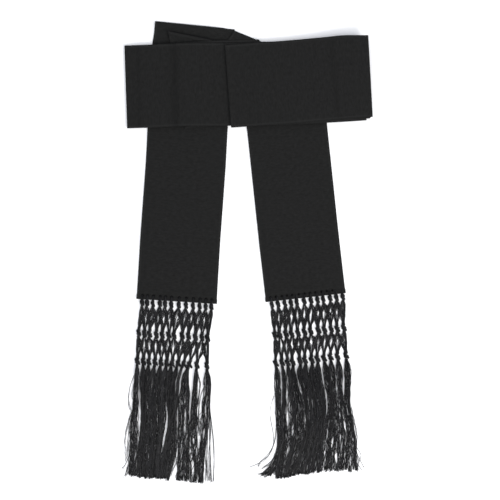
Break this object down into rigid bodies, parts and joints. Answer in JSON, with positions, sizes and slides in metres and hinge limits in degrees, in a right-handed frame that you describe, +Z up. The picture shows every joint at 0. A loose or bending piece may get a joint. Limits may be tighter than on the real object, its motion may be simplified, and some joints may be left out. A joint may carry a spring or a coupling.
{
  "type": "cincture",
  "caption": "Flat-lying cloth waist band folded into a loop, with two hanging falls that end in knotted fringe.",
  "frame": {"origin": "on the floor, under the middle of the outline", "axes": "+Z up from the floor, +Y from the fringe tips to the waist band, +X to the right seen from above"},
  "size_m": [0.3826, 0.7074, 0.022],
  "materials": {
    "black_cloth": "matte",
    "black_fringe": "satin"
  },
  "bodies": {
    "root": {"waist_band": "black_cloth", "inner_flap": "black_cloth", "left_fall": "black_cloth", "right_fall": "black_cloth", "left_fringe": "black_fringe", "right_fringe": "black_fringe"}
  },
  "joints": []
}
